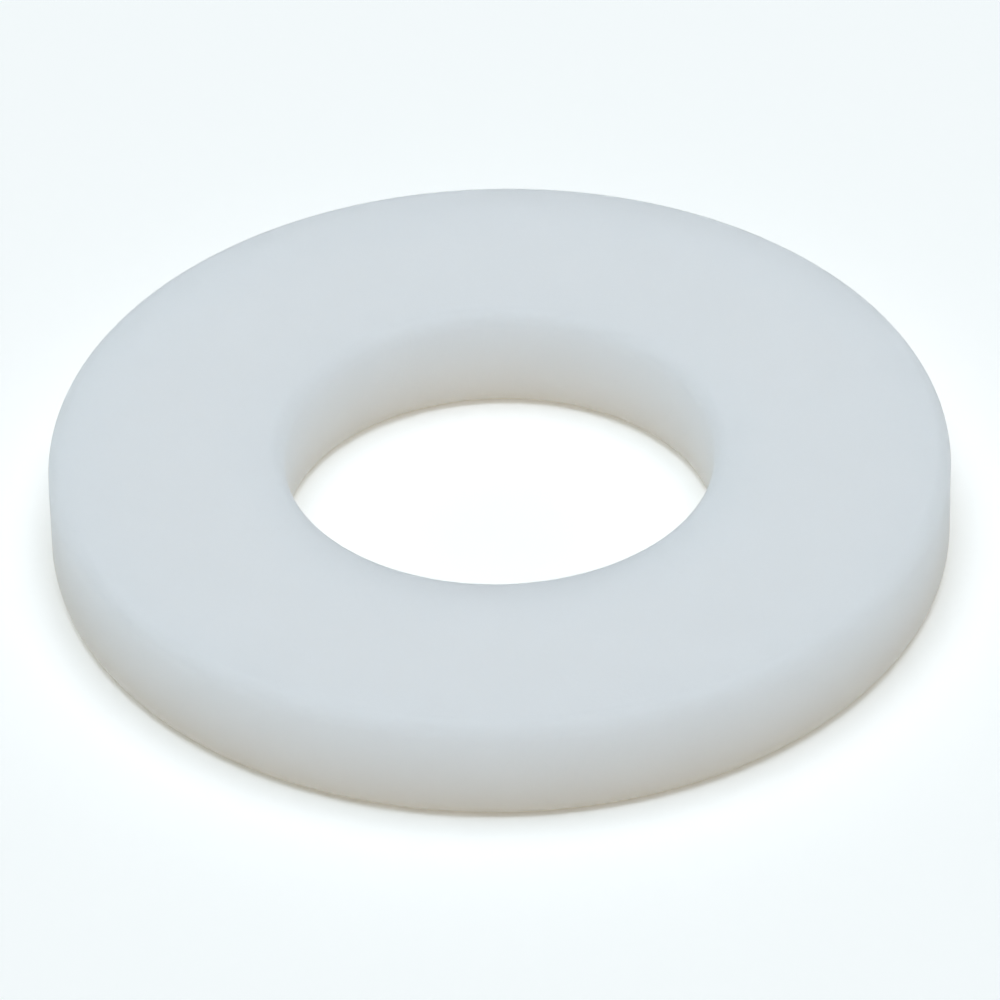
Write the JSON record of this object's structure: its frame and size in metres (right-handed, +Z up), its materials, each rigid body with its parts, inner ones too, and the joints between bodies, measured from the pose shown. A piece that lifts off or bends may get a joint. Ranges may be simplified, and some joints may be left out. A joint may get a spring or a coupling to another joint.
{
  "type": "flat washer",
  "caption": "Thick round flat washer in natural nylon, with a plain round hole and rounded edges.",
  "frame": {"origin": "centre of the hole, on the underside", "axes": "+Z up along the hole's axis, +X and +Y across the ring"},
  "size_m": [0.027, 0.027, 0.0033],
  "materials": {
    "nylon": "smooth satin moulded nylon, slightly translucent"
  },
  "bodies": {
    "root": {"washer": "nylon"}
  },
  "joints": []
}
